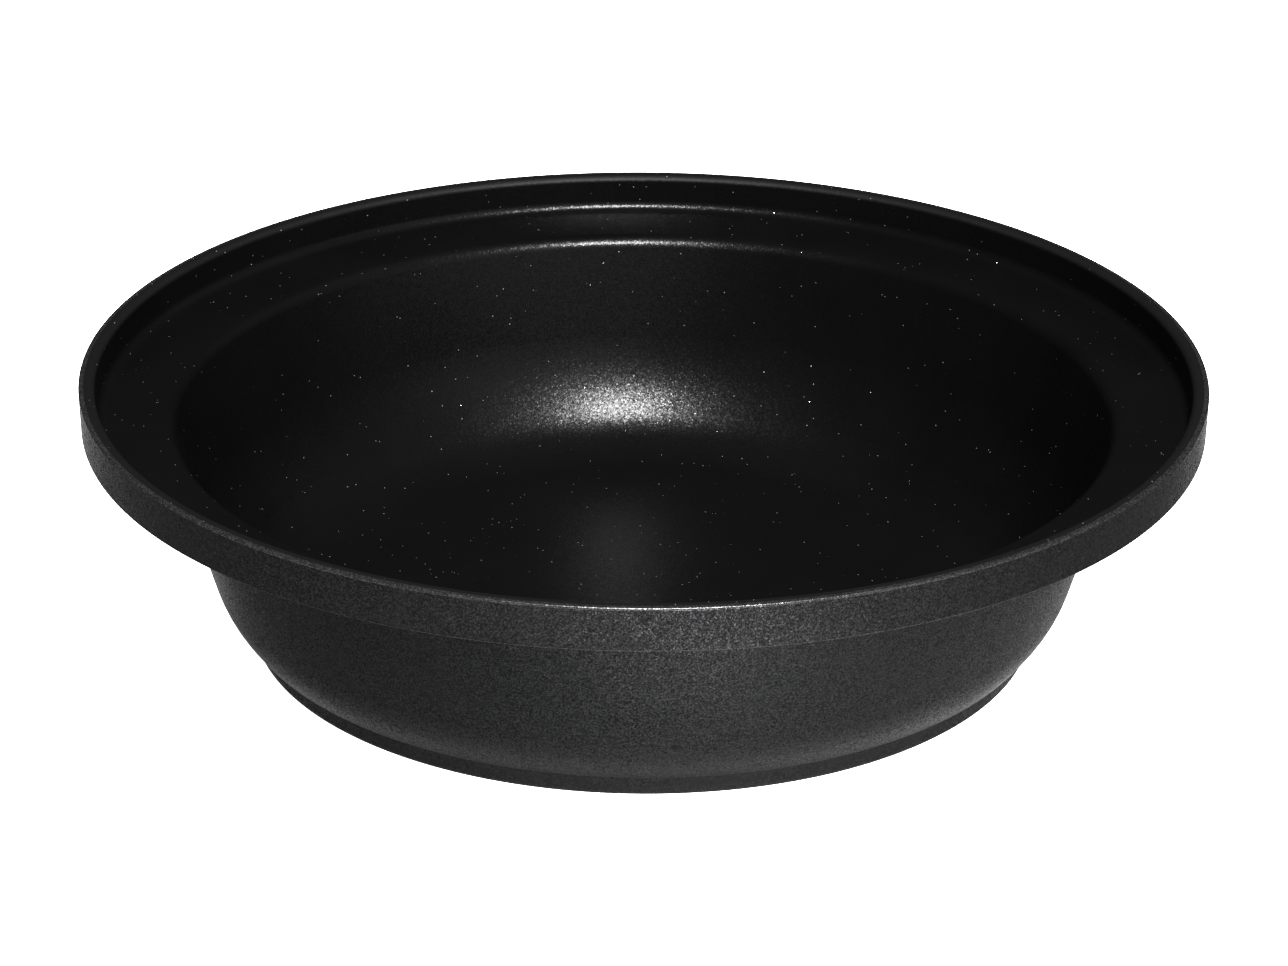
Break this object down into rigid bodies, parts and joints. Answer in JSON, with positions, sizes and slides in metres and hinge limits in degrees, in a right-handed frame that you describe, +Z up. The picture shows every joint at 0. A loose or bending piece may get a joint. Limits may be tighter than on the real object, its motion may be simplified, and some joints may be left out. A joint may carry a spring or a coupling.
{
  "type": "deep round pan",
  "caption": "Deep round handle-less pan, black non-stick inside and grainy black outside, with a raised lip, a lid seat and a low turned foot.",
  "frame": {"origin": "centre of the flat underside, where the pan stands", "axes": "+Z up along the pan's axis of revolution; X and Y are any two square directions across the rim"},
  "size_m": [0.32, 0.32, 0.0785],
  "materials": {
    "bare_casting": "bare cast aluminium, lathe-turned in fine rings under the foot",
    "nonstick": "semi-gloss black non-stick film with fine orange peel and small mineral glints",
    "outer_black": "matt black baked coat with a coarse metallic grain",
    "disc_steel": "stainless steel, brushed in rings"
  },
  "bodies": {
    "root": {"pan_casting": "bare_casting", "nonstick_lining": "nonstick", "outer_coat": "outer_black", "base_disc": "disc_steel"}
  },
  "joints": []
}
